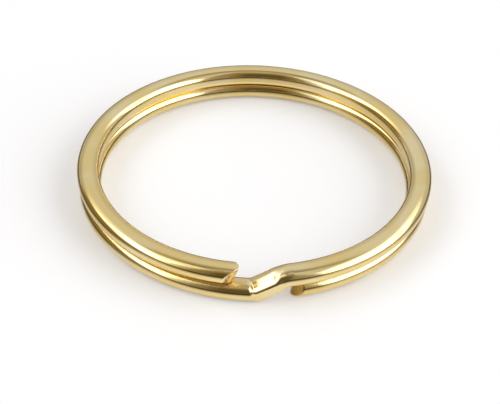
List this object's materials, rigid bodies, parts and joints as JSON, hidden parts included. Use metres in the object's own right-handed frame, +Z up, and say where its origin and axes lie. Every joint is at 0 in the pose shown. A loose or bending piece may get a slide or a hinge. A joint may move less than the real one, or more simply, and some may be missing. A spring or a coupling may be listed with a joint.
{
  "type": "split key ring",
  "caption": "Flat split key ring: flattened spring wire coiled in stacked turns, stepping from one to the other at the front, with sheared free ends.",
  "frame": {"origin": "centre of the ring on the surface it lies on, at the level of the lower turn's underside", "axes": "+Z up along the ring's axis; -Y is the front, where the wire crosses from the upper turn to the lower; +X is right"},
  "size_m": [0.028, 0.028, 0.0027],
  "materials": {
    "gold_plated_wire": "gold-coloured plating on rolled spring wire, satin on the flats and bright on the round sides"
  },
  "bodies": {
    "root": {"split_ring": "gold_plated_wire"}
  },
  "joints": []
}
